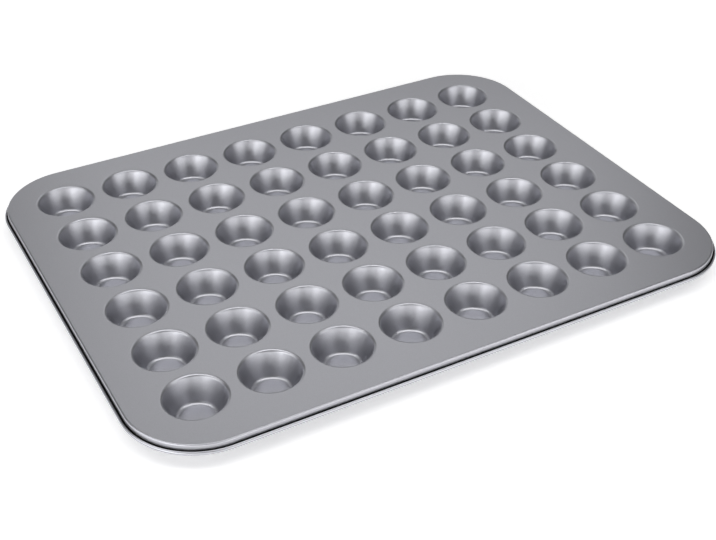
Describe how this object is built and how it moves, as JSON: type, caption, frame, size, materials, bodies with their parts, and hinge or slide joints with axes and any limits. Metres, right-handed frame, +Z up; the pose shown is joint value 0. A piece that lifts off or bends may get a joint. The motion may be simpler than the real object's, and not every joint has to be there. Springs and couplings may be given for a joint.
{
  "type": "mini muffin pan",
  "caption": "Shallow rectangular baking pan with rounded corners: a flat deck, a grid of small tapered round cups with flat bases, and a rim rolled round a wire.",
  "frame": {"origin": "under the middle of the pan, on the surface that the cup bases stand on", "axes": "+X along the long side, +Y along the short side, +Z up, out of the cup mouths"},
  "size_m": [0.4596, 0.3556, 0.0185],
  "materials": {
    "coated_sheet": "satin grey non-stick coating on steel",
    "rim_wire": "drawn steel wire"
  },
  "bodies": {
    "root": {"deck": "coated_sheet", "rolled_rim": "coated_sheet", "rim_wire": "rim_wire", "cup_r1_c1": "coated_sheet", "cup_r1_c2": "coated_sheet", "cup_r1_c3": "coated_sheet", "cup_r1_c4": "coated_sheet", "cup_r1_c5": "coated_sheet", "cup_r1_c6": "coated_sheet", "cup_r1_c7": "coated_sheet", "cup_r1_c8": "coated_sheet", "cup_r2_c1": "coated_sheet", "cup_r2_c2": "coated_sheet", "cup_r2_c3": "coated_sheet", "cup_r2_c4": "coated_sheet", "cup_r2_c5": "coated_sheet", "cup_r2_c6": "coated_sheet", "cup_r2_c7": "coated_sheet", "cup_r2_c8": "coated_sheet", "cup_r3_c1": "coated_sheet", "cup_r3_c2": "coated_sheet", "cup_r3_c3": "coated_sheet", "cup_r3_c4": "coated_sheet", "cup_r3_c5": "coated_sheet", "cup_r3_c6": "coated_sheet", "cup_r3_c7": "coated_sheet", "cup_r3_c8": "coated_sheet", "cup_r4_c1": "coated_sheet", "cup_r4_c2": "coated_sheet", "cup_r4_c3": "coated_sheet", "cup_r4_c4": "coated_sheet", "cup_r4_c5": "coated_sheet", "cup_r4_c6": "coated_sheet", "cup_r4_c7": "coated_sheet", "cup_r4_c8": "coated_sheet", "cup_r5_c1": "coated_sheet", "cup_r5_c2": "coated_sheet", "cup_r5_c3": "coated_sheet", "cup_r5_c4": "coated_sheet", "cup_r5_c5": "coated_sheet", "cup_r5_c6": "coated_sheet", "cup_r5_c7": "coated_sheet", "cup_r5_c8": "coated_sheet", "cup_r6_c1": "coated_sheet", "cup_r6_c2": "coated_sheet", "cup_r6_c3": "coated_sheet", "cup_r6_c4": "coated_sheet", "cup_r6_c5": "coated_sheet", "cup_r6_c6": "coated_sheet", "cup_r6_c7": "coated_sheet", "cup_r6_c8": "coated_sheet"}
  },
  "joints": []
}
